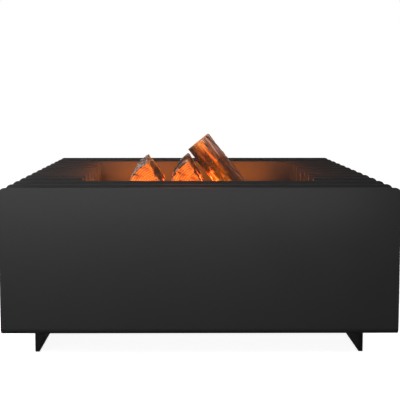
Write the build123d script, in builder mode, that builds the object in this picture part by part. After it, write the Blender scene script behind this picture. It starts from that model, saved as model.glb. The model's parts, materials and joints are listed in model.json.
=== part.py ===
from build123d import *
import os
from math import cos, radians, sin

os.makedirs("parts", exist_ok=True)

# A square fire pit made of parallel steel fins in a folded tray, standing on two runners.
# Millimetres. +X is right, +Y is back, +Z is up. The origin is on the ground under the centre.

# Body
side = 914.0  # width and depth of the square plan
panel_height = 339.0  # from the underside of the tray to the top of the panels and fins
ground_gap = 64.0  # from the ground to the underside of the tray
sheet = 5.0  # steel sheet of the tray and the fins
gaps = 12  # equal gaps between the front panel, the fins and the back panel
corner_radius = 14.0  # rounded top corners of the panels and fins
tray_bend = 14.0  # outer radius of the two folds along the tray's floor
fin_bend = 10.0  # outer radius of the fold at a fin's foot
fin_flange = 40.0  # depth of a fin's foot
pitch = (side - sheet) / gaps
middle_fin = gaps // 2
top = ground_gap + panel_height
floor_top = ground_gap + sheet
flange_top = floor_top + sheet

# Fire opening, cut into the middle fins
opening_width = 588.0
opening_depth = 240.0  # down from the top of the fins
opening_corner = 20.0
cut_fins = range(3, 10)
notch_floor = top - opening_depth

# Runners: two steel angles under the tray
runner_x = 392.5  # outer face, from the centre
runner_plate = 10.0
runner_flange = 50.0
runner_root = 8.0  # fillet inside the angle
runner_length = side - 2 * pitch

# M10 fasteners
bolt_radius = 5.0
thread_gap = 0.05  # between a nut or washer and the thread in it
hole_radius = 5.5
hex_radius = 8.0  # half the size across the flats
head_height = 6.4
nut_height = 8.4
washer_radius = 10.0
washer_height = 2.0
thread_end = 4.0  # thread that stands out of a nut
thread_chamfer = 1.0
floor_bolt_x = 362.0
floor_bolt_setback = 22.0  # from a fin's plain face to its floor bolt

# Tie rods through the fins, with a spacer tube in each gap
rod_x = 375.5
rod_low = 140.0
rod_high = 330.0
tube_radius = 10.0
tube_bore = 6.5

# Drain holes in the tray and the bowl
drain_radius = 7.0
tray_drain_x = 420.0
tray_drain_y = 4.5 * pitch

# Fire bowl
lift_gap = 0.3  # between a lift-out piece and what it stands on
bowl_width = 556.0
bowl_length = 572.0
bowl_height = 150.0
bowl_sheet = 3.0
bowl_corner = 30.0
bowl_fold = 12.0
rim_width = 8.0
hand_slot_length = 120.0
hand_slot_height = 36.0
hand_slot_drop = 38.0  # from the rim to the middle of a hand slot
bowl_drain_pitch = 210.0
bowl_base = notch_floor + lift_gap
bowl_floor = bowl_base + bowl_sheet

# Log grate
grate_side = 430.0
rail_width = 10.0
rail_height = 30.0
leg_side = 20.0
leg_height = 40.0
bar_side = 16.0
bar_count = 9
rail_base = bowl_floor + lift_gap + leg_height
grate_top = rail_base + rail_height
grate_inside = grate_side - 2 * rail_width
bar_pitch = grate_inside / (bar_count + 1)

# Firewood: layers of split logs on the grate
log_gap = 0.3
base_log_height = 60.0
cross_log_height = 65.0
bark_bulge = 10.0  # of a quarter split's bark, out from the flat between its edges
leaning_width = 78.0
leaning_tilt = 52.0
leaning_roll = 40.0  # turns the edge between split face and bark to the front
leaning_lift = leaning_width / 2 * sin(radians(leaning_roll)) * cos(radians(leaning_tilt))
base_layer = grate_top + lift_gap
cross_layer = base_layer + base_log_height + log_gap
upper_layer = cross_layer + cross_log_height + log_gap


def save(piece, name):
    piece.part.label = name
    export_step(piece.part, f"parts/{name}.step")


def fin_front(number):
    """y of a fin's front face, counting the front panel as 0."""
    return -side / 2 + number * pitch


def faces_back(number):
    """Whether a fin's foot is folded towards the back; the feet all point at the middle."""
    return number <= middle_fin


def floor_bolt_y(number):
    if faces_back(number):
        return fin_front(number) + floor_bolt_setback
    return fin_front(number) + sheet - floor_bolt_setback


fin_numbers = range(1, gaps)
floor_bolt_places = [
    (x, floor_bolt_y(number)) for number in fin_numbers for x in (-floor_bolt_x, floor_bolt_x)
]
rod_places = {
    "left_low": (-rod_x, rod_low),
    "left_high": (-rod_x, rod_high),
    "right_low": (rod_x, rod_low),
    "right_high": (rod_x, rod_high),
}


# Tray: front panel, floor and back panel folded from one sheet, open at both sides
with BuildPart() as tray:
    with BuildSketch(Plane.YZ.offset(-side / 2)):
        with BuildLine():
            FilletPolyline(
                (-side / 2, top),
                (-side / 2, ground_gap),
                (side / 2, ground_gap),
                (side / 2, top),
                radius=tray_bend,
            )
            offset(amount=sheet, side=Side.LEFT)
        make_face()
    extrude(amount=side)
    fillet(tray.edges().filter_by(Axis.Y).group_by(Axis.Z)[-1], corner_radius)
    with BuildSketch(Plane.XY.offset(ground_gap)):
        with Locations(*floor_bolt_places):
            Circle(hole_radius)
        with GridLocations(2 * tray_drain_x, 2 * tray_drain_y, 2, 2):
            Circle(drain_radius)
    extrude(amount=sheet, mode=Mode.SUBTRACT)
save(tray, "tray")


# Fins: upright plates with a folded foot, the middle ones cut out for the fire
def make_fin(number):
    if faces_back(number):
        plain_face, direction, inside = fin_front(number), 1, Side.LEFT
    else:
        plain_face, direction, inside = fin_front(number) + sheet, -1, Side.RIGHT
    with BuildPart() as fin:
        with BuildSketch(Plane.YZ.offset(-side / 2)):
            with BuildLine():
                FilletPolyline(
                    (plain_face, top),
                    (plain_face, floor_top),
                    (plain_face + direction * fin_flange, floor_top),
                    radius=fin_bend,
                )
                offset(amount=sheet, side=inside)
            make_face()
        extrude(amount=side)
        fillet(fin.edges().filter_by(Axis.Y).group_by(Axis.Z)[-1], corner_radius)
        if number in cut_fins:
            with BuildSketch(Plane.XZ.offset(-fin_front(number) - sheet)):
                with Locations((0, top - opening_depth / 2)):
                    notch = Rectangle(opening_width, opening_depth)
                fillet(notch.vertices().group_by(Axis.Y)[0], opening_corner)
            extrude(amount=sheet, mode=Mode.SUBTRACT)
        with BuildSketch(Plane.XZ.offset(-fin_front(number) - sheet)):
            with Locations(*rod_places.values()):
                Circle(hole_radius)
        extrude(amount=sheet, mode=Mode.SUBTRACT)
        with BuildSketch(Plane.XY.offset(floor_top)):
            with Locations((0, floor_bolt_y(number))):
                with GridLocations(2 * floor_bolt_x, 0, 2, 1):
                    Circle(hole_radius)
        extrude(amount=sheet, mode=Mode.SUBTRACT)
    save(fin, f"fin_{number}")


for number in fin_numbers:
    make_fin(number)


# Runners: steel angles, the upright leg on the ground and the flange bolted under the tray
def make_runner(name, hand):
    with BuildPart() as runner:
        with BuildSketch(Plane.XZ.offset(-runner_length / 2)) as section:
            with BuildLine():
                Polyline(
                    (hand * runner_x, 0),
                    (hand * runner_x, ground_gap),
                    (hand * (runner_x - runner_flange), ground_gap),
                    (hand * (runner_x - runner_flange), ground_gap - runner_plate),
                    (hand * (runner_x - runner_plate), ground_gap - runner_plate),
                    (hand * (runner_x - runner_plate), 0),
                    close=True,
                )
            make_face()
            root = (hand * (runner_x - runner_plate), ground_gap - runner_plate)
            fillet(section.vertices().sort_by_distance(root)[0], runner_root)
        extrude(amount=runner_length)
        with BuildSketch(Plane.XY.offset(ground_gap - runner_plate)):
            with Locations(*[(x, y) for x, y in floor_bolt_places if x * hand > 0]):
                Circle(hole_radius)
        extrude(amount=runner_plate, mode=Mode.SUBTRACT)
    save(runner, name)


make_runner("runner_left", -1)
make_runner("runner_right", 1)

# Floor bolts: up through runner flange, tray floor and fin foot
flange_base = ground_gap - runner_plate
head_base = flange_base - washer_height - head_height
floor_bolt_end = flange_top + washer_height + nut_height + thread_end

with BuildPart() as floor_bolts:
    with BuildSketch(Plane.XY.offset(head_base)):
        with Locations(*floor_bolt_places):
            RegularPolygon(hex_radius, 6, major_radius=False)
    extrude(amount=head_height)
    with BuildSketch(Plane.XY.offset(head_base + head_height)):
        with Locations(*floor_bolt_places):
            Circle(bolt_radius)
    extrude(amount=floor_bolt_end - head_base - head_height)
    chamfer(floor_bolts.edges().group_by(Axis.Z)[-1], thread_chamfer)
save(floor_bolts, "floor_bolts")

with BuildPart() as floor_washers:
    for washer_base in (flange_base - washer_height, flange_top):
        with BuildSketch(Plane.XY.offset(washer_base)):
            with Locations(*floor_bolt_places):
                Circle(washer_radius)
                Circle(bolt_radius + thread_gap, mode=Mode.SUBTRACT)
        extrude(amount=washer_height)
save(floor_washers, "floor_washers")

with BuildPart() as floor_nuts:
    with BuildSketch(Plane.XY.offset(flange_top + washer_height)):
        with Locations(*floor_bolt_places):
            RegularPolygon(hex_radius, 6, major_radius=False)
            Circle(bolt_radius + thread_gap, mode=Mode.SUBTRACT)
    extrude(amount=nut_height)
save(floor_nuts, "floor_nuts")

# Tie rods, and their washers and nuts outside the first and last fins
outer_face = -fin_front(1)
rod_end = outer_face + washer_height + nut_height + thread_end

for name, place in rod_places.items():
    with BuildPart() as tie_rod:
        with BuildSketch(Plane.XZ):
            with Locations(place):
                Circle(bolt_radius)
        extrude(amount=rod_end, both=True)
        chamfer(tie_rod.edges().filter_by(GeomType.CIRCLE), thread_chamfer)
    save(tie_rod, f"tie_rod_{name}")
    with BuildPart() as spacer_tubes:
        for number in range(1, gaps - 1):
            with BuildSketch(Plane.XZ.offset(-fin_front(number + 1))):
                with Locations(place):
                    Circle(tube_radius)
                    Circle(tube_bore, mode=Mode.SUBTRACT)
            extrude(amount=pitch - sheet)
    save(spacer_tubes, f"spacer_tubes_{name}")

with BuildPart() as rod_washers:
    for face in (outer_face + washer_height, -outer_face):
        with BuildSketch(Plane.XZ.offset(face - washer_height)):
            with Locations(*rod_places.values()):
                Circle(washer_radius)
                Circle(bolt_radius + thread_gap, mode=Mode.SUBTRACT)
        extrude(amount=washer_height)
save(rod_washers, "rod_washers")

with BuildPart() as rod_nuts:
    for face in (outer_face + washer_height + nut_height, -outer_face - washer_height):
        with BuildSketch(Plane.XZ.offset(face - nut_height)):
            with Locations(*rod_places.values()):
                RegularPolygon(hex_radius, 6, major_radius=False)
                Circle(bolt_radius + thread_gap, mode=Mode.SUBTRACT)
        extrude(amount=nut_height)
save(rod_nuts, "rod_nuts")

# Fire bowl: an open pan with an outward rim, hand slots and drain holes
with BuildPart() as fire_bowl:
    with BuildSketch(Plane.XY.offset(bowl_base)):
        RectangleRounded(bowl_width, bowl_length, bowl_corner)
    extrude(amount=bowl_height)
    fillet(fire_bowl.edges().group_by(Axis.Z)[0], bowl_fold)
    offset(amount=-bowl_sheet, openings=fire_bowl.faces().sort_by(Axis.Z)[-1])
    with BuildSketch(Plane.XY.offset(bowl_base + bowl_height - bowl_sheet)):
        RectangleRounded(
            bowl_width + 2 * rim_width,
            bowl_length + 2 * rim_width,
            bowl_corner + rim_width,
        )
        RectangleRounded(
            bowl_width - 2 * bowl_sheet,
            bowl_length - 2 * bowl_sheet,
            bowl_corner - bowl_sheet,
            mode=Mode.SUBTRACT,
        )
    extrude(amount=bowl_sheet)
    with BuildSketch(Plane.YZ):
        with Locations((0, bowl_base + bowl_height - hand_slot_drop)):
            SlotOverall(hand_slot_length, hand_slot_height)
    extrude(amount=bowl_width, both=True, mode=Mode.SUBTRACT)
    with BuildSketch(Plane.XY.offset(bowl_base)):
        Circle(drain_radius)
        with GridLocations(bowl_drain_pitch, bowl_drain_pitch, 2, 2):
            Circle(drain_radius)
    extrude(amount=bowl_sheet, mode=Mode.SUBTRACT)
save(fire_bowl, "fire_bowl")

# Log grate: a welded frame of flat rails on four legs, with square bars between its ends
rail_middle = (grate_side - rail_width) / 2
for name, sign in {"front": -1, "back": 1}.items():
    with BuildPart() as rail:
        with BuildSketch(Plane.XY.offset(rail_base)):
            with Locations((0, sign * rail_middle)):
                Rectangle(grate_side, rail_width)
        extrude(amount=rail_height)
    save(rail, f"grate_rail_{name}")
for name, sign in {"left": -1, "right": 1}.items():
    with BuildPart() as rail:
        with BuildSketch(Plane.XY.offset(rail_base)):
            with Locations((sign * rail_middle, 0)):
                Rectangle(rail_width, grate_inside)
        extrude(amount=rail_height)
    save(rail, f"grate_rail_{name}")

with BuildPart() as grate_bearer:
    with BuildSketch(Plane.XY.offset(rail_base)):
        Rectangle(grate_inside, rail_width)
    extrude(amount=rail_height - bar_side)
save(grate_bearer, "grate_bearer")

for bar in range(bar_count):
    with BuildPart() as grate_bar:
        with BuildSketch(Plane.XY.offset(grate_top - bar_side)):
            with Locations(((bar + 1) * bar_pitch - grate_inside / 2, 0)):
                Rectangle(bar_side, grate_inside)
        extrude(amount=bar_side)
    save(grate_bar, f"grate_bar_{bar + 1}")

with BuildPart() as grate_legs:
    with BuildSketch(Plane.XY.offset(rail_base - leg_height)):
        with GridLocations(grate_side - leg_side, grate_side - leg_side, 2, 2):
            Rectangle(leg_side, leg_side)
    extrude(amount=leg_height)
save(grate_legs, "grate_legs")


# Firewood. A log starts at its foot, the middle of its flat face there, and runs along its heading,
# in degrees anticlockwise from +X seen from above. It rises by its tilt and is turned about its length
# by its roll.
def log_plane(foot, heading, tilt, roll=0):
    along = (
        cos(radians(heading)) * cos(radians(tilt)),
        sin(radians(heading)) * cos(radians(tilt)),
        sin(radians(tilt)),
    )
    level = Vector(-sin(radians(heading)), cos(radians(heading)), 0)
    return Plane(foot, x_dir=level.rotate(Axis((0, 0, 0), along), roll), z_dir=along)


def half_log(name, foot, heading, length, width, height):
    """A log split down the middle: flat below, round bark above."""
    with BuildPart() as log:
        with BuildSketch(log_plane(foot, heading, 0)):
            with BuildLine():
                Line((-width / 2, 0), (width / 2, 0))
                ThreePointArc((width / 2, 0), (0, height), (-width / 2, 0))
            make_face()
        extrude(amount=length)
    save(log, name)


def wedge_log(name, foot, heading, tilt, length, width, height, ridge, roll=0):
    """A quarter split: a flat face below, a second one up to the ridge, and bark from there down."""
    with BuildPart() as log:
        with BuildSketch(log_plane(foot, heading, tilt, roll)):
            with BuildLine():
                Polyline((ridge, height), (-width / 2, 0), (width / 2, 0))
                bark_middle = ((ridge + width / 2) / 2 + bark_bulge, height / 2 + bark_bulge)
                ThreePointArc((width / 2, 0), bark_middle, (ridge, height))
            make_face()
        extrude(amount=length)
    save(log, name)


half_log("log_base_left", (-122, -165, base_layer), 84, 340, 110, base_log_height)
half_log("log_base_right", (88, -170, base_layer), 96, 335, 100, base_log_height)
half_log("log_cross_front", (-172, -78, cross_layer), -4, 340, 90, cross_log_height)
half_log("log_cross_back", (-168, 76, cross_layer), 4, 335, 90, cross_log_height)
wedge_log("log_upper_left", (-134, -165, upper_layer), 91, 0, 330, 104, 76, 0)
wedge_log("log_upper_middle", (-27, -150, upper_layer), 89, 0, 320, 98, 80, -2)
leaning_foot = (164, -12, base_layer + leaning_lift)
wedge_log("log_leaning", leaning_foot, 180, leaning_tilt, 280, leaning_width, 72, -6, leaning_roll)
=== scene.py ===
import json
import math
import random
from collections import Counter

import bmesh
import bpy
from mathutils import Matrix, Vector, noise


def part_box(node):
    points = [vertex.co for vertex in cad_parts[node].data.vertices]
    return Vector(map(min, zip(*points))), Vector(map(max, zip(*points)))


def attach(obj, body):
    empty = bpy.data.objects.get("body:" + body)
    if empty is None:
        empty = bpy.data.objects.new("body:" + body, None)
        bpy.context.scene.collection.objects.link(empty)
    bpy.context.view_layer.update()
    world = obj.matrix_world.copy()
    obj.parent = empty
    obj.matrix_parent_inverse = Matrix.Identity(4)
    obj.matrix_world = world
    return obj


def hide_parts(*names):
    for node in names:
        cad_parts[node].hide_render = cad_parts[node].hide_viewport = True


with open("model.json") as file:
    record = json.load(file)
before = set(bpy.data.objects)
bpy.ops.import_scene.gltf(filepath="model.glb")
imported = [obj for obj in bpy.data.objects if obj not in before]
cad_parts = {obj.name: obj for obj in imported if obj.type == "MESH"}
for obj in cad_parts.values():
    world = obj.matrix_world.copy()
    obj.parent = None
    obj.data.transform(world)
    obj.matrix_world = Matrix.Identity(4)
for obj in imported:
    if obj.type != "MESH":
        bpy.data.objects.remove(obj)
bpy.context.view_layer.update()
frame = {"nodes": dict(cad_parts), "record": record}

# A fin-plate fire pit on two runners, with a fire bowl, a log grate and burning firewood.
# Metres. +X is right, +Y is back, +Z is up, and the ground is at z = 0.

nodes = frame["nodes"]
slot_of = {part["node"]: part["material_slot"] for part in frame["record"]["subparts"]}
tray_low, tray_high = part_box("tray")
bowl_low, bowl_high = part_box("fire_bowl")
scene = bpy.context.scene

bowl_sheet = 0.003  # thickness of the fire bowl's sheet
fire_heart = Vector((-0.02, 0.0, bowl_high.z))  # the hottest place in the pile
ember_strength = 14.0  # how brightly the hottest cracks glow


# ---------------------------------------------------------------- shader helpers


def set_range(map_range, *limits):
    """Sets the limits of a Map Range node: from low and high, to low and high."""
    for name, number in zip(("From Min", "From Max", "To Min", "To Max"), limits):
        map_range.inputs[name].default_value = number


class Shader:
    """A node material under construction: each method adds a node and returns its output socket."""

    def __init__(self, name):
        self.material = bpy.data.materials.new(name)
        self.material.use_nodes = True
        self.tree = self.material.node_tree
        self.surface = self.tree.nodes["Principled BSDF"]

    def node(self, kind, **settings):
        made = self.tree.nodes.new(kind)
        for name, value in settings.items():
            setattr(made, name, value)
        return made

    def feed(self, socket, value):
        """Links a socket to another, or sets its own value. None leaves it as it is."""
        if isinstance(value, bpy.types.NodeSocket):
            self.tree.links.new(value, socket)
        elif value is not None:
            socket.default_value = value

    def set(self, **values):
        """Sets or links inputs of the surface shader; underscores stand for spaces in their names."""
        for name, value in values.items():
            self.feed(self.surface.inputs[name.replace("_", " ")], value)

    def place(self):
        return self.node("ShaderNodeTexCoord").outputs["Object"]

    def attribute(self, name, output="Vector"):
        return self.node("ShaderNodeAttribute", attribute_name=name).outputs[output]

    def stretch(self, vector, scale):
        mapping = self.node("ShaderNodeMapping")
        self.feed(mapping.inputs["Vector"], vector)
        mapping.inputs["Scale"].default_value = scale
        return mapping.outputs["Vector"]

    def noise(self, vector, scale, detail=4.0, roughness=0.55, distortion=0.0):
        made = self.node("ShaderNodeTexNoise")
        self.feed(made.inputs["Vector"], vector)
        made.inputs["Scale"].default_value = scale
        made.inputs["Detail"].default_value = detail
        made.inputs["Roughness"].default_value = roughness
        made.inputs["Distortion"].default_value = distortion
        return made.outputs["Fac"]

    def cells(self, vector, scale, feature="F1"):
        made = self.node("ShaderNodeTexVoronoi", feature=feature)
        self.feed(made.inputs["Vector"], vector)
        made.inputs["Scale"].default_value = scale
        return made.outputs["Distance"]

    def rings(self, vector, spacing, distortion, rough_scale):
        """Growth rings about the vector's Z axis, spacing metres apart, pushed about by noise."""
        made = self.node("ShaderNodeTexWave", wave_type="RINGS", rings_direction="Z")
        self.feed(made.inputs["Vector"], vector)
        made.inputs["Scale"].default_value = 2 * math.pi / (20 * spacing)
        made.inputs["Distortion"].default_value = distortion
        made.inputs["Detail"].default_value = 3.0
        made.inputs["Detail Scale"].default_value = rough_scale
        return made.outputs["Fac"]

    def span(self, value, low, high, to_low=0.0, to_high=1.0):
        """value from low..high, clamped, as to_low..to_high with soft ends."""
        made = self.node("ShaderNodeMapRange", interpolation_type="SMOOTHSTEP")
        self.feed(made.inputs["Value"], value)
        set_range(made, low, high, to_low, to_high)
        return made.outputs["Result"]

    def math(self, operation, a, b=None):
        made = self.node("ShaderNodeMath", operation=operation)
        self.feed(made.inputs[0], a)
        self.feed(made.inputs[1], b)
        return made.outputs["Value"]

    def plus(self, a, b):
        return self.math("ADD", a, b)

    def minus(self, a, b):
        return self.math("SUBTRACT", a, b)

    def times(self, a, b):
        return self.math("MULTIPLY", a, b)

    def mixed(self, data_type, amount, a, b):
        """Goes from a to b by amount. A Mix node has sockets of its own for each type of data."""
        socket_a, socket_b, result = {"FLOAT": (2, 3, 0), "RGBA": (6, 7, 2)}[data_type]
        made = self.node("ShaderNodeMix", data_type=data_type)
        for socket, value in zip((0, socket_a, socket_b), (amount, a, b)):
            self.feed(made.inputs[socket], value)
        return made.outputs[result]

    def mix(self, amount, a, b):
        """Mixes two colours, each a socket or three numbers, which get an alpha of 1."""
        a, b = (colour if isinstance(colour, bpy.types.NodeSocket) else (*colour, 1) for colour in (a, b))
        return self.mixed("RGBA", amount, a, b)

    def mix_value(self, amount, a, b):
        return self.mixed("FLOAT", amount, a, b)

    def split(self, vector, axis):
        made = self.node("ShaderNodeSeparateXYZ")
        self.feed(made.inputs[0], vector)
        return made.outputs[axis]

    def camera_ray(self):
        return self.node("ShaderNodeLightPath").outputs["Is Camera Ray"]

    def facing_up(self):
        return self.split(self.node("ShaderNodeNewGeometry").outputs["Normal"], "Z")

    def bump(self, height, distance, strength=1.0, under=None):
        made = self.node("ShaderNodeBump")
        self.feed(made.inputs["Height"], height)
        self.feed(made.inputs["Normal"], under)
        made.inputs["Distance"].default_value = distance
        made.inputs["Strength"].default_value = strength
        return made.outputs["Normal"]


def powder_coat():
    """Anthracite powder coat: fine sandy texture, faint clouding, dust on what faces up."""
    s = Shader("anthracite_powder_coat")
    place = s.place()
    cloud = s.noise(place, 5.0, detail=5.0)
    grit = s.noise(place, 1400.0, detail=2.0)
    sand = s.cells(place, 900.0)
    tone = s.mix(s.span(cloud, 0.3, 0.7), (0.0164, 0.0165, 0.0170), (0.0182, 0.0183, 0.0188))
    tone = s.mix(s.span(grit, 0.35, 0.75, 0.0, 0.35), tone, (0.034, 0.034, 0.035))
    level = s.span(s.facing_up(), 0.7, 1.0)
    dusty = s.times(level, s.span(s.noise(place, 26.0), 0.35, 0.75))
    tone = s.mix(s.times(dusty, 0.12), tone, (0.08, 0.075, 0.07))
    s.set(Base_Color=tone, Roughness=s.span(cloud, 0.25, 0.75, 0.51, 0.54), Specular_IOR_Level=0.36)
    s.set(Normal=s.bump(s.plus(sand, grit), 0.00012, 0.5))
    return s.material


def zinc():
    """Zinc-plated fasteners, dull and slightly mottled."""
    s = Shader("dull_zinc")
    place = s.place()
    mottle = s.cells(place, 420.0)
    tone = s.mix(s.span(mottle, 0.1, 0.9), (0.30, 0.31, 0.33), (0.45, 0.45, 0.44))
    tone = s.mix(s.span(s.noise(place, 70.0), 0.55, 0.8), tone, (0.16, 0.14, 0.12))
    s.set(Base_Color=tone, Metallic=0.9, Roughness=s.span(mottle, 0.0, 1.0, 0.34, 0.5))
    s.set(Normal=s.bump(s.noise(place, 900.0), 0.00006, 0.6))
    return s.material


def bowl_steel():
    """Black bowl steel that has been in the fire: soot, blue and straw heat tints, ash on the floor."""
    s = Shader("fired_bowl_steel")
    place = s.place()
    patch = s.noise(place, 9.0, detail=6.0, distortion=0.6)
    tint = s.mix(s.span(patch, 0.35, 0.65), (0.018, 0.020, 0.028), (0.060, 0.036, 0.020))
    soot = s.mix(s.span(s.noise(place, 24.0, detail=6.0), 0.4, 0.6), tint, (0.010, 0.009, 0.009))
    level = s.span(s.facing_up(), 0.6, 1.0)
    ash = s.times(level, s.span(s.noise(place, 38.0, detail=6.0), 0.35, 0.6))
    tone = s.mix(s.times(ash, 0.75), soot, (0.23, 0.21, 0.195))
    s.set(Base_Color=tone, Metallic=0.35, Roughness=s.span(patch, 0.3, 0.7, 0.5, 0.78))
    s.set(Normal=s.bump(s.noise(place, 260.0, detail=5.0), 0.0004, 0.7))
    return s.material


def grate_iron():
    """Blackened iron bars with flaking scale, browned by heat."""
    s = Shader("scaled_grate_iron")
    place = s.place()
    flake = s.cells(place, 160.0)
    patch = s.noise(place, 30.0, detail=6.0)
    tone = s.mix(s.span(patch, 0.4, 0.62), (0.022, 0.020, 0.020), (0.085, 0.042, 0.022))
    tone = s.mix(s.span(flake, 0.45, 0.8, 0.0, 0.5), tone, (0.11, 0.10, 0.095))
    s.set(Base_Color=tone, Metallic=0.3, Roughness=s.span(flake, 0.0, 1.0, 0.55, 0.8))
    s.set(Normal=s.bump(s.plus(flake, s.noise(place, 420.0)), 0.0006, 0.7))
    return s.material


def charred(s, grain, tone, roughness, relief):
    """Burns a wood surface: black blocks split by cracks that glow where it is hottest, and grey ash."""
    burnt = s.attribute("burnt", "Fac")
    ragged = s.noise(s.stretch(grain, (70, 70, 16)), 1.0, detail=6.0)
    front = s.plus(burnt, s.times(s.minus(ragged, 0.5), 0.9))
    amount = s.span(front, 0.34, 0.56)
    blocks = s.cells(s.stretch(grain, (75, 75, 42)), 1.0, "DISTANCE_TO_EDGE")
    crack = s.span(blocks, 0.0, 0.16, 1.0, 0.0)
    coal = s.mix(s.span(ragged, 0.35, 0.7), (0.008, 0.0075, 0.007), (0.030, 0.028, 0.027))
    scorch = s.mix(s.span(front, 0.10, 0.42), tone, (0.075, 0.032, 0.012))
    spent = s.span(front, 0.55, 0.85)
    ash = s.times(spent, s.span(s.noise(grain, 150.0, detail=5.0), 0.5, 0.68))
    surface = s.mix(s.times(ash, 0.8), s.mix(amount, scorch, coal), (0.30, 0.285, 0.27))
    hottest = s.span(front, 0.62, 1.05)
    heat = s.times(hottest, s.span(s.noise(grain, 26.0, detail=3.0), 0.34, 0.62))
    seam = s.times(heat, s.plus(crack, 0.10))
    glow = s.mix(s.span(seam, 0.1, 0.9), (1.0, 0.06, 0.004), (1.0, 0.30, 0.035))
    s.set(Base_Color=surface, Roughness=s.mix_value(amount, roughness, 0.82), Specular_IOR_Level=0.3)
    s.set(Emission_Color=glow, Emission_Strength=s.times(seam, ember_strength))
    cracked = s.minus(relief, s.times(s.times(crack, amount), 2.2))
    s.set(Normal=s.bump(cracked, 0.0016, 0.8))


def bark():
    """Grey furrowed bark: pale plates, dark brown furrows that run along the log."""
    s = Shader("furrowed_bark")
    grain = s.attribute("grain")
    plates = s.noise(s.stretch(grain, (120, 120, 18)), 1.0, detail=6.0, distortion=0.4)
    flakes = s.noise(s.stretch(grain, (420, 420, 110)), 1.0, detail=5.0)
    tone = s.mix(s.span(plates, 0.38, 0.60), (0.060, 0.038, 0.027), (0.37, 0.335, 0.305))
    tone = s.mix(s.span(flakes, 0.40, 0.66, 0.0, 0.6), tone, (0.150, 0.105, 0.080))
    tone = s.mix(s.span(s.attribute("furrow", "Fac"), 0.25, 0.9), tone, (0.022, 0.014, 0.011))
    relief = s.plus(plates, s.times(flakes, 0.5))
    charred(s, grain, tone, 0.88, relief)
    return s.material


def split_wood():
    """A split face: orange-brown heartwood with growth lines and coarse fibres along the grain."""
    s = Shader("split_hardwood")
    grain = s.attribute("grain")
    lines = s.rings(grain, 0.0052, 3.0, 9.0)
    fibre = s.noise(s.stretch(grain, (620, 620, 16)), 1.0, detail=6.0)
    streak = s.noise(s.stretch(grain, (90, 90, 5)), 1.0, detail=4.0)
    tone = s.mix(s.span(lines, 0.2, 0.9), (0.52, 0.265, 0.058), (0.33, 0.135, 0.025))
    tone = s.mix(s.span(fibre, 0.42, 0.66, 0.0, 0.75), tone, (0.60, 0.355, 0.100))
    tone = s.mix(s.span(streak, 0.52, 0.72, 0.0, 0.7), tone, (0.20, 0.070, 0.022))
    relief = s.plus(fibre, s.times(lines, 0.35))
    charred(s, grain, tone, 0.66, relief)
    return s.material


def end_grain():
    """A sawn end: growth rings, drying cracks from the heart outwards, saw marks, and a dark bark rim."""
    s = Shader("sawn_end_grain")
    grain = s.attribute("grain")
    lines = s.rings(grain, 0.0058, 2.2, 5.0)
    pores = s.noise(s.stretch(grain, (900, 900, 0)), 1.0, detail=3.0)
    angle = s.math("ARCTAN2", s.split(grain, "Y"), s.split(grain, "X"))
    wander = s.times(s.noise(grain, 60.0, detail=4.0), 0.12)
    checks = s.math("PINGPONG", s.plus(angle, wander), 0.36)
    narrow = s.span(checks, 0.0, 0.035, 1.0, 0.0)
    check = s.times(narrow, s.span(s.noise(grain, 34.0), 0.42, 0.60))
    saw = s.noise(s.stretch(grain, (14, 420, 0)), 1.0, detail=2.0)
    stain = s.noise(s.stretch(grain, (40, 40, 0)), 1.0, detail=5.0)
    tone = s.mix(s.span(lines, 0.15, 0.85), (0.42, 0.215, 0.046), (0.20, 0.080, 0.015))
    tone = s.mix(s.span(pores, 0.45, 0.75, 0.0, 0.5), tone, (0.16, 0.065, 0.024))
    tone = s.mix(s.span(stain, 0.45, 0.70, 0.0, 0.75), tone, (0.10, 0.042, 0.017))
    tone = s.mix(check, tone, (0.030, 0.014, 0.007))
    tone = s.mix(s.attribute("rim", "Fac"), tone, (0.055, 0.034, 0.024))
    relief = s.minus(s.plus(saw, s.times(lines, 0.3)), s.times(check, 2.0))
    charred(s, grain, tone, 0.75, relief)
    return s.material


def coals():
    """Charcoal: black and blocky, ash-grey where it faces up, glowing in its cracks and down in the bed."""
    s = Shader("glowing_charcoal")
    grain = s.attribute("grain")
    face = s.noise(grain, 90.0, detail=6.0)
    blocks = s.cells(grain, 110.0, "DISTANCE_TO_EDGE")
    level = s.span(s.facing_up(), 0.1, 0.9)
    ash = s.times(level, s.span(s.noise(grain, 60.0, detail=5.0), 0.36, 0.60))
    black = s.mix(s.span(face, 0.35, 0.7), (0.007, 0.0065, 0.006), (0.028, 0.026, 0.025))
    tone = s.mix(ash, black, (0.34, 0.325, 0.31))
    burnt = s.attribute("burnt", "Fac")
    hot = s.times(burnt, s.span(s.noise(grain, 42.0, detail=3.0), 0.38, 0.62))
    seam = s.times(hot, s.plus(s.span(blocks, 0.0, 0.22, 1.0, 0.0), 0.35))
    glow = s.mix(s.span(seam, 0.2, 1.0), (1.0, 0.055, 0.003), (1.0, 0.28, 0.03))
    s.set(Base_Color=tone, Roughness=s.span(face, 0.3, 0.7, 0.7, 0.95), Specular_IOR_Level=0.3)
    s.set(Emission_Color=glow, Emission_Strength=s.times(seam, ember_strength))
    s.set(Normal=s.bump(s.plus(face, blocks), 0.0014, 0.8))
    return s.material


def ash_dust():
    """Fine wood ash: pale grey powder with soft drifts and black specks."""
    s = Shader("wood_ash")
    place = s.place()
    drift = s.noise(place, 22.0, detail=6.0)
    speck = s.cells(place, 210.0)
    tone = s.mix(s.span(drift, 0.35, 0.65), (0.27, 0.26, 0.25), (0.46, 0.45, 0.43))
    tone = s.mix(s.span(speck, 0.10, 0.22, 0.85, 0.0), tone, (0.035, 0.032, 0.030))
    s.set(Base_Color=tone, Roughness=0.97, Specular_IOR_Level=0.1)
    s.set(Normal=s.bump(s.noise(place, 420.0, detail=6.0), 0.0009, 0.8))
    return s.material


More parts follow.
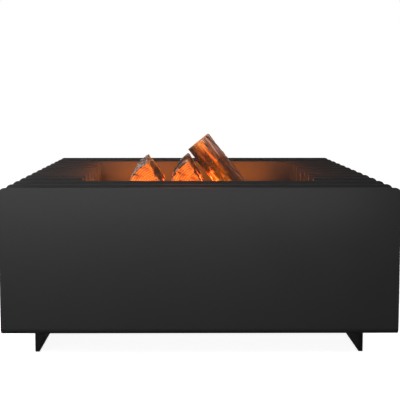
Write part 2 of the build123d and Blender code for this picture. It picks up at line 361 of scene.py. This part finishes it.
def weld_metal():
    """Rippled weld metal, blackened by fire, browner than the bars."""
    s = Shader("fired_weld")
    place = s.place()
    patch = s.noise(place, 120.0, detail=4.0)
    tone = s.mix(s.span(patch, 0.38, 0.62), (0.035, 0.030, 0.028), (0.12, 0.065, 0.036))
    s.set(Base_Color=tone, Metallic=0.5, Roughness=s.span(patch, 0.3, 0.7, 0.45, 0.7))
    s.set(Normal=s.bump(s.noise(place, 700.0), 0.0003, 0.6))
    return s.material


finishes = {
    "body_coat": powder_coat(),
    "fixings": zinc(),
    "bowl_steel": bowl_steel(),
    "grate_steel": grate_iron(),
}
for name, node in nodes.items():
    if slot_of[name] in finishes:
        for material_slot in node.material_slots:
            material_slot.material = finishes[slot_of[name]]

# ---------------------------------------------------------------- firewood, embers and welds

mesh_step = 0.0028  # spacing of the points on a log
fillet_reach = 0.006  # how far a log's worn edges reach
fillet_depth = 0.0022
bark_thickness = 0.006  # width of the dark rim on a sawn end
cap_rings = 14  # rings of faces on a sawn end
bowl_floor = bowl_low.z + bowl_sheet
ash_reach = 0.19  # half the width of the ash
ash_edge = 0.0006  # height of its top above the bowl's floor at its edge
ash_lift = 0.0002  # keeps its underside off the bowl's floor
lump_width = 0.6  # half a lump's width and height, as shares of its size
lump_height = 0.42


def add_piece(name, data, body):
    piece = bpy.data.objects.new(name, data)
    scene.collection.objects.link(piece)
    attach(piece, body)
    return piece


def point_values(data, name, kind, values):
    """Stores one number or vector for each vertex of a mesh, for its material to read."""
    layer = data.attributes.new(name, kind, "POINT")
    if kind == "FLOAT":
        layer.data.foreach_set("value", values)
    else:
        layer.data.foreach_set("vector", [number for value in values for number in value])


def log_axes(node):
    """The way a log runs, which its sawn ends' many faces give, and two directions across it."""
    faces = node.data.polygons
    looks = Counter(tuple(round(part, 2) for part in face.normal) for face in faces)
    commonest = Vector(looks.most_common(1)[0][0])
    alike = (face.normal for face in faces if (face.normal - commonest).length < 0.02)
    along = sum(alike, Vector()).normalized()
    across = along.cross(Vector((0, 0, 1))).normalized()
    return along, across, across.cross(along)


def log_section(node, along, across, up):
    """A log's section, as its corners in order, and where the log starts and ends along its axis."""
    points = [vertex.co for vertex in node.data.vertices]
    start = min(point.dot(along) for point in points)
    end = max(point.dot(along) for point in points)
    rim = {(round(p.dot(across), 5), round(p.dot(up), 5)) for p in points if p.dot(along) < start + 1e-5}
    middle = sum((Vector(corner) for corner in rim), Vector((0, 0))) / len(rim)
    order = sorted(rim, key=lambda corner: math.atan2(corner[1] - middle.y, corner[0] - middle.x))
    return [Vector(corner) for corner in order], start, end


def bark_circle(corners):
    """Centre and radius of the arc that a log's bark follows: its growth rings share that centre."""
    sides = [(b - a).length for a, b in zip(corners, corners[1:] + corners[:1])]
    facet = sorted(sides)[len(sides) // 2]
    longest_facet = 1.6 * facet  # bark is in short facets, and a split face is one long side
    barky = [side < longest_facet for side in sides]
    first = next(k for k in range(len(sides)) if barky[k] and not barky[k - 1])
    count = sum(barky)
    a, b, c = (corners[(first + step) % len(corners)] for step in (0, count // 2, count))
    turn = 2 * (a.x * (b.y - c.y) + b.x * (c.y - a.y) + c.x * (a.y - b.y))
    squares = a.length_squared, b.length_squared, c.length_squared
    heart = Vector((
        (squares[0] * (b.y - c.y) + squares[1] * (c.y - a.y) + squares[2] * (a.y - b.y)) / turn,
        (squares[0] * (c.x - b.x) + squares[1] * (a.x - c.x) + squares[2] * (b.x - a.x)) / turn,
    ))
    return heart, (a - heart).length, barky


def walk_round(corners, barky):
    """Points about mesh_step apart round the section: whether each is bark, and its gap to an edge."""
    path = []
    for k, (a, b) in enumerate(zip(corners, corners[1:] + corners[:1])):
        count = max(1, round((b - a).length / mesh_step))
        path += [(a.lerp(b, step / count), barky[k]) for step in range(count)]
    edges = [point for k, (point, bark_here) in enumerate(path) if bark_here != path[k - 1][1]]
    edges += [corners[k] for k in range(len(corners)) if not barky[k] and not barky[k - 1]]
    return [(point, bark_here, min((point - edge).length for edge in edges)) for point, bark_here in path]


def bark_relief(place):
    """How deep the bark is cut at a place in the log's own axes, and how far that place is in a furrow."""
    ridge = abs(noise.noise(Vector((place.x * 62, place.y * 62, place.z * 9))))
    branch = abs(noise.noise(Vector((place.x * 38, place.y * 38, place.z * 14 + 40))))
    furrow = max(0.0, 1 - min(ridge, branch * 1.6) / 0.16)
    swell = 0.5 + noise.noise(place * 22)
    flake = 0.5 + noise.noise(Vector((place.x * 190, place.y * 190, place.z * 60)))
    furrow_depth, swell_depth, flake_depth = 0.0036, 0.0016, 0.0006
    return furrow_depth * furrow + swell_depth * max(0.0, swell) + flake_depth * max(0.0, flake), furrow


def split_relief(place):
    """How deep a split face is torn: long steps and fibres along the grain, over a slow wave."""
    wave = 0.5 + noise.noise(Vector((place.x * 16, place.y * 16, place.z * 7)))
    step = 0.5 + noise.noise(Vector((place.x * 75, place.y * 75, place.z * 3.5)))
    fibre = 0.5 + noise.noise(Vector((place.x * 210, place.y * 210, place.z * 9)))
    wave_depth, step_depth, fibre_depth = 0.0030, 0.0026, 0.0010
    return wave_depth * max(0.0, wave) + step_depth * max(0.0, step) ** 2 + fibre_depth * max(0.0, fibre)


def burnt_at(point):
    """How far the fire has got at a point of the pile: 1 at its heart, 0 outside it, more underneath."""
    width, depth, height = 0.15, 0.135, 0.12  # how far the fire reaches along each axis
    away = point - fire_heart
    reach = math.sqrt((away.x / width) ** 2 + (away.y / depth) ** 2 + (away.z / height) ** 2)
    return max(0.0, min(1.0, 1.35 - reach * 0.85))


def split_log(number, node_name):
    """A split log in the place of its CAD solid, just inside it: torn faces, furrowed bark, sawn ends."""
    node = nodes[node_name]
    along, across, up = log_axes(node)
    corners, start, end = log_section(node, along, across, up)
    heart, bark_radius, barky = bark_circle(corners)
    section = walk_round(corners, barky)
    middle = sum((point for point, _, _ in section), Vector((0, 0))) / len(section)
    length = end - start
    ring_count = round(length / mesh_step)
    dent_depth = 0.0007
    shift = 3.0 * number  # gives each log its own part of the noise

    verts, grain, burnt, furrows, rims = [], [], [], [], []

    def add_vertex(flat, reach, furrow, rim):
        place = along * (start + reach) + across * flat.x + up * flat.y
        verts.append(place)
        grain.append((flat.x - heart.x, flat.y - heart.y, reach + shift))
        burnt.append(burnt_at(place))
        furrows.append(furrow)
        rims.append(rim)

    def sink(point, is_bark, corner_gap, reach):
        place = Vector((point.x - heart.x, point.y - heart.y, reach + shift))
        if is_bark:
            depth, furrow = bark_relief(place)
        else:
            depth, furrow = split_relief(place), 0.0
        edge_gap = min(corner_gap, reach, length - reach)
        rounding = max(0.0, 1 - edge_gap / fillet_reach)
        depth += fillet_depth * rounding ** 2
        return point + (middle - point).normalized() * depth, furrow

    around = len(section)
    for ring in range(ring_count + 1):
        reach = length * ring / ring_count
        for point, is_bark, corner_gap in section:
            moved, furrow = sink(point, is_bark, corner_gap, reach)
            add_vertex(moved, reach, furrow, 1.0 if is_bark else 0.0)
    faces = []
    kinds = []
    for ring in range(ring_count):
        for k in range(around):
            nxt = (k + 1) % around
            low, high = ring * around, (ring + 1) * around
            faces.append((low + k, high + k, high + nxt, low + nxt))
            kinds.append(bark_face if section[k][1] else split_face)

    for reach, base, inward in ((0.0, 0, 1), (length, ring_count * around, -1)):
        previous = list(range(base, base + around))
        rim_points = [Vector((verts[k].dot(across), verts[k].dot(up))) for k in previous]
        for step in range(1, cap_rings):
            shrink = step / cap_rings
            ring_now = []
            for point in rim_points:
                flat = point.lerp(middle, shrink)
                dent = dent_depth * (0.5 + noise.noise(Vector((flat.x * 45, flat.y * 45, shift + base))))
                bark_depth = bark_radius - (flat - heart).length
                ring_now.append(len(verts))
                rim = max(0.0, 1 - bark_depth / bark_thickness)
                add_vertex(flat, reach + inward * max(0.0, dent), 0.0, rim)
            for k in range(around):
                nxt = (k + 1) % around
                quad = (previous[k], previous[nxt], ring_now[nxt], ring_now[k])
                faces.append(quad if inward > 0 else tuple(reversed(quad)))
                kinds.append(end_face)
            previous = ring_now
        add_vertex(middle, reach, 0.0, 0.0)
        for k in range(around):
            nxt = (k + 1) % around
            tip = (previous[k], previous[nxt], len(verts) - 1)
            faces.append(tip if inward > 0 else tuple(reversed(tip)))
            kinds.append(end_face)

    data = bpy.data.meshes.new(f"split_{node_name}")
    data.from_pydata(verts, [], faces)
    for material in wood_finishes:
        data.materials.append(material)
    data.polygons.foreach_set("material_index", kinds)
    data.polygons.foreach_set("use_smooth", [True] * len(faces))
    data.set_sharp_from_angle(angle=math.radians(50))
    point_values(data, "grain", "FLOAT_VECTOR", grain)
    point_values(data, "burnt", "FLOAT", burnt)
    point_values(data, "furrow", "FLOAT", furrows)
    point_values(data, "rim", "FLOAT", rims)
    piece = add_piece(f"split_{node_name}", data, "firewood")
    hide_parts(node_name)


def bed_height(x, y):
    """Height of the ash above the bowl's floor: a low mound, uneven, thinning to nothing at its edge."""
    spread_depth, heap_depth, heap_width = 0.004, 0.010, 0.018
    reach = max(abs(x), abs(y)) / ash_reach
    mound = max(0.0, 1 - reach ** 3)
    ripple = 0.5 + 0.5 * noise.noise(Vector((x * 26, y * 26, 5)))
    heap = math.exp(-(x * x + y * y) / heap_width)
    return ash_edge + mound * (spread_depth + heap_depth * ripple * heap)


def ash_pull(u, v):
    """The factor that draws in a point of a square grid (-1 to 1), for an uneven round-cornered outline."""
    out = max(abs(u), abs(v))
    if out == 0:
        return 1.0
    power = 8  # 2 would make the outline a circle, and more makes it squarer
    corner = ((abs(u) / out) ** power + (abs(v) / out) ** power) ** (-1 / power)
    ragged = 0.12 * noise.noise(Vector((4 * u / out, 4 * v / out, 2)))
    ragged += 0.04 * noise.noise(Vector((14 * u / out, 14 * v / out, 7)))
    return 1 - out ** 2 * (1 - corner * min(1.0, 0.93 + ragged))


def ash_layer():
    """Ash spread over the bowl's floor, as a closed heap with a flat underside, thinnest at its edge."""
    cells = 100
    bm = bmesh.new()
    tops, bottoms = [], []
    for j in range(cells + 1):
        for i in range(cells + 1):
            u, v = (2 * k / cells - 1 for k in (i, j))
            x, y = (ash_reach * part * ash_pull(u, v) for part in (u, v))
            thinning = 1 - max(abs(u), abs(v)) ** 6
            depth = ash_edge + (bed_height(x, y) - ash_edge) * thinning
            tops.append(bm.verts.new((x, y, bowl_floor + depth)))
            bottoms.append(bm.verts.new((x, y, bowl_floor + ash_lift)))
    row = cells + 1
    for j in range(cells):
        for i in range(cells):
            a, b, c, d = (j * row + i, j * row + i + 1, (j + 1) * row + i + 1, (j + 1) * row + i)
            bm.faces.new([tops[k] for k in (a, b, c, d)])
            bm.faces.new([bottoms[k] for k in (d, c, b, a)])
    loop = list(range(row)) + [j * row + cells for j in range(1, row)]
    loop += [cells * row + i for i in range(cells - 1, -1, -1)] + [j * row for j in range(cells - 1, 0, -1)]
    for k in range(len(loop)):
        a, b = loop[k], loop[(k + 1) % len(loop)]
        bm.faces.new((tops[b], tops[a], bottoms[a], bottoms[b]))
    bmesh.ops.recalc_face_normals(bm, faces=bm.faces)
    data = bpy.data.meshes.new("ash_layer")
    bm.to_mesh(data)
    bm.free()
    data.polygons.foreach_set("use_smooth", [True] * len(data.polygons))
    data.materials.append(ash_dust())
    add_piece("ash_layer", data, "bowl")


def charcoal_lump(bm, place, size, turn, seed):
    """A broken lump of charcoal: a ball cut flat by a few planes, then roughened."""
    plane_count, plane_distance, unevenness = 7, 0.72, 0.13
    ball = bmesh.ops.create_icosphere(bm, subdivisions=3, radius=1.0)["verts"]
    cuts = [
        Vector((turn.gauss(0, 1), turn.gauss(0, 1), turn.gauss(0, 1))).normalized()
        for _ in range(plane_count)
    ]
    stretch = Vector((turn.uniform(0.8, 1.5), turn.uniform(0.7, 1.0), turn.uniform(0.55, 0.85)))
    heading = Matrix.Rotation(turn.uniform(0, math.tau), 3, "Z")
    tilt = Matrix.Rotation(turn.uniform(-0.4, 0.4), 3, "X")
    spin = heading @ tilt
    for vertex in ball:
        point = vertex.co.copy()
        for cut in cuts:
            over = point.dot(cut) - plane_distance
            if over > 0:
                point -= cut * over
        point *= 1 + unevenness * noise.noise(point * 3.1 + Vector((seed, 0, 0)))
        point = spin @ Vector((point.x * stretch.x, point.y * stretch.y, point.z * stretch.z))
        vertex.co = place + point * size


def held_at(x, y, size, under, under_size):
    """Height at which a lump at x, y rests on one below it, or minus infinity where it misses that one."""
    width = lump_width * (size + under_size)
    gap = math.hypot(x - under.x, y - under.y)
    if gap >= width:
        return -math.inf
    return under.z + lump_height * (size + under_size) * math.sqrt(1 - (gap / width) ** 2)


def ember_bed():
    """Glowing charcoal heaped on the ash, clear of the grate above it and of the grate's legs."""
    lump_count, smallest, largest = 230, 0.006, 0.0125
    scatter, margin = 0.48, 0.03
    heap_height, heap_width = 0.014, 0.012
    turn = random.Random(11)
    bm = bmesh.new()
    places = []
    sizes = []
    for seed in range(lump_count):
        size = turn.uniform(smallest, largest)
        x, y = (max(-1.0, min(1.0, turn.gauss(0, scatter))) * (ash_reach - margin) for _ in range(2))
        base = bowl_floor + bed_height(x, y) + size * lump_height
        heap = heap_height * math.exp(-(x * x + y * y) / heap_width) * turn.random()
        rest = max([base] + [held_at(x, y, size, *other) for other in zip(places, sizes)])
        place = Vector((x, y, min(base + heap, rest)))
        charcoal_lump(bm, place, size, turn, seed)
        places.append(place)
        sizes.append(size)
    data = bpy.data.meshes.new("ember_bed")
    bm.to_mesh(data)
    bm.free()
    lump_size = len(data.vertices) // lump_count
    heat = []
    for vertex in data.vertices:
        place = places[vertex.index // lump_size]
        centre = math.exp(-(place.x ** 2 + place.y ** 2) / 0.020)
        under = max(0.0, min(1.0, 0.65 - (vertex.co.z - place.z) / 0.012))
        heat.append(min(1.0, centre * (0.35 + under)))
    data.polygons.foreach_set("use_smooth", [True] * len(data.polygons))
    data.set_sharp_from_angle(angle=math.radians(28))
    data.materials.append(coals())
    point_values(data, "grain", "FLOAT_VECTOR", [tuple(vertex.co) for vertex in data.vertices])
    point_values(data, "burnt", "FLOAT", heat)
    add_piece("ember_bed", data, "bowl")


def weld_bead(bm, start, end, radius):
    """A rippled bead from start to end, rounded off at both ends."""
    line = end - start
    side = line.orthogonal().normalized()
    other = line.cross(side).normalized()
    steps, sides = 14, 10
    ripple_depth, ripple_rate, thinnest = 0.10, 2600, 0.12
    rows = []
    for step in range(steps + 1):
        share = step / steps
        ends = math.sqrt(max(0.0, 1 - (2 * share - 1) ** 6))
        swell = ends * (1 + ripple_depth * math.sin(share * line.length * ripple_rate))
        middle = start.lerp(end, share)
        rows.append([
            bm.verts.new(
                middle + (side * math.cos(a) + other * math.sin(a)) * radius * max(thinnest, swell)
            )
            for a in (math.tau * k / sides for k in range(sides))
        ])
    for low, high in zip(rows, rows[1:]):
        for k in range(sides):
            nxt = (k + 1) % sides
            bm.faces.new((low[k], low[nxt], high[nxt], high[k]))
    bm.faces.new(reversed(rows[0]))
    bm.faces.new(rows[-1])


def grate_welds():
    """Beads where the bars meet the rails and the bearer, and where the rails meet at the corners."""
    bm = bmesh.new()
    bead = 0.0022
    front_low, front_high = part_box("grate_rail_front")
    back_low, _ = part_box("grate_rail_back")
    _, left_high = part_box("grate_rail_left")
    right_low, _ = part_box("grate_rail_right")
    bearer_low, bearer_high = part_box("grate_bearer")

    def upright_bead(x, y, low, high):
        weld_bead(bm, Vector((x, y, low + bead)), Vector((x, y, high - 1.5 * bead)), bead)

    for name in nodes:
        if not name.startswith("grate_bar_"):
            continue
        low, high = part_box(name)
        for x in (low.x, high.x):
            for y in (front_high.y, back_low.y):
                upright_bead(x, y, low.z, high.z)
            for y in (bearer_low.y, bearer_high.y):
                reach = 0.25 * (high.x - low.x) * (1 if x == low.x else -1)
                weld_bead(bm, Vector((x, y, low.z)), Vector((x + reach, y, low.z)), bead)
    for x in (left_high.x, right_low.x):
        for y in (front_high.y, back_low.y):
            upright_bead(x, y, front_low.z, front_high.z)
    bmesh.ops.recalc_face_normals(bm, faces=bm.faces)
    data = bpy.data.meshes.new("grate_welds")
    bm.to_mesh(data)
    bm.free()
    data.polygons.foreach_set("use_smooth", [True] * len(data.polygons))
    data.materials.append(weld_metal())
    add_piece("grate_welds", data, "grate")


wood_finishes = (bark(), split_wood(), end_grain())
bark_face, split_face, end_face = range(len(wood_finishes))
for number, name in enumerate(name for name in nodes if slot_of[name] == "firewood"):
    split_log(number, name)
ash_layer()
ember_bed()
grate_welds()

# ---------------------------------------------------------------- studio


def sheet_light(name, place, aim, size, power, colour=(1, 1, 1)):
    """A flat rectangular lamp at place that shines towards aim."""
    data = bpy.data.lights.new(name, "AREA")
    data.shape = "RECTANGLE"
    data.size, data.size_y = size
    data.energy = power
    data.color = colour
    light = bpy.data.objects.new(name, data)
    light.location = place
    light.rotation_euler = (Vector(aim) - Vector(place)).to_track_quat("-Z", "Y").to_euler()
    scene.collection.objects.link(light)
    return light


def studio_light_all_round(tree):
    """Grey light, brightest low in front and dim overhead and behind: thin top edges don't glare."""
    direction = tree.nodes.new("ShaderNodeTexCoord")
    tilt = tree.nodes.new("ShaderNodeVectorMath")
    tilt.operation = "DOT_PRODUCT"
    tilt.inputs[1].default_value = (0.20, 0.70, 0.45)  # towards the dim side
    ramp = tree.nodes.new("ShaderNodeMapRange")
    tree.links.new(direction.outputs["Generated"], tilt.inputs[0])
    tree.links.new(tilt.outputs["Value"], ramp.inputs["Value"])
    set_range(ramp, -0.8, 0.8, 0.21, 0.05)
    return ramp.outputs["Result"]


def surroundings():
    """Plain white to the camera, and the soft grey studio light to everything else."""
    world = bpy.data.worlds.new("studio")
    scene.world = world
    world.use_nodes = True
    tree = world.node_tree
    background = tree.nodes["Background"]
    white = tree.nodes.new("ShaderNodeBackground")
    white.inputs["Color"].default_value = (1, 1, 1, 1)
    tree.links.new(studio_light_all_round(tree), background.inputs["Color"])
    mixer = tree.nodes.new("ShaderNodeMixShader")
    rays = tree.nodes.new("ShaderNodeLightPath")
    tree.links.new(rays.outputs["Is Camera Ray"], mixer.inputs["Fac"])
    tree.links.new(background.outputs[0], mixer.inputs[1])
    tree.links.new(white.outputs[0], mixer.inputs[2])
    tree.links.new(mixer.outputs[0], tree.nodes["World Output"].inputs["Surface"])


def pale_floor():
    """A floor that the camera sees as nearly white, but that throws little light back up."""
    reach, glow = 30.0, 0.92
    s = Shader("pale_floor")
    seen = s.camera_ray()
    tone = s.mix(seen, (0.14, 0.14, 0.14), (0.86, 0.86, 0.86))
    s.set(Base_Color=tone, Roughness=0.9, Specular_IOR_Level=0.1)
    s.set(Emission_Color=(1, 1, 1, 1), Emission_Strength=s.times(seen, glow))
    data = bpy.data.meshes.new("floor")
    corners = [(-reach, -reach, 0), (reach, -reach, 0), (reach, reach, 0), (-reach, reach, 0)]
    data.from_pydata(corners, [], [(0, 1, 2, 3)])
    data.materials.append(s.material)
    floor = bpy.data.objects.new("floor", data)
    scene.collection.objects.link(floor)


def lamps():
    """Soft lamps above and in front, low ones for the upright faces, and two for the fire."""
    sheet_light("key", (-0.40, -0.95, 0.98), (-0.15, -0.45, 0.38), (1.9, 0.30), 12)
    strip_high = tray_high.z - 0.03
    strip_place, strip_aim = (-0.15, tray_low.y - 0.24, strip_high), (-0.15, tray_low.y, strip_high)
    sheet_light("strip", strip_place, strip_aim, (1.2, 0.05), 0.48).visible_camera = False
    sheet_light("side", (-2.4, -1.4, 1.5), (0, 0, 0.2), (1.6, 1.6), 14)
    sheet_light("overhead", (0, 0.1, 3.0), (0, 0.1, 0), (3.0, 3.0), 40)

    low = tray_high.z / 2
    low_size = (2.4, tray_high.z * 0.9)
    for name, x, y, power in (
        ("low_back", 0.2, 1.7, 15),
        ("low_left", -1.7, 0.6, 16),
        ("low_right", 1.7, 0.6, 16),
        ("low_front", -1.3, -1.5, 3),
    ):
        sheet_light(name, (x, y, low), (0, 0, low), low_size, power).visible_camera = False

    fire = (1.0, 0.21, 0.004)
    ember_place, ember_aim = (fire_heart.x, 0, bowl_high.z + 0.008), (fire_heart.x, 0, 1)
    sheet_light("embers", ember_place, ember_aim, (0.50, 0.50), 19, fire).visible_camera = False
    data = bpy.data.lights.new("flames", "POINT")
    data.energy = 1.7
    data.shadow_soft_size = 0.10
    data.color = fire
    flames = bpy.data.objects.new("flames", data)
    flames.location = (fire_heart.x, -0.10, tray_high.z + 0.20)
    flames.visible_camera = False
    scene.collection.objects.link(flames)


def camera():
    """Just above the top of the pit, all but square to its front panel and a little left of its middle."""
    aside, before_front, above_top = -0.0365, 1.784, 0.2025
    pitch, yaw = math.radians(4.6), 0.0052
    data = bpy.data.cameras.new("camera")
    data.sensor_width = 36.0
    data.lens = 71.38
    data.shift_x = 0.03
    data.shift_y = -0.0949
    cam = bpy.data.objects.new("camera", data)
    cam.location = (aside, tray_low.y - before_front, tray_high.z + above_top)
    cam.rotation_euler = (math.pi / 2 - pitch, 0, -yaw)
    scene.collection.objects.link(cam)
    scene.camera = cam


camera()
surroundings()
pale_floor()
lamps()
scene.view_settings.view_transform = "Standard"
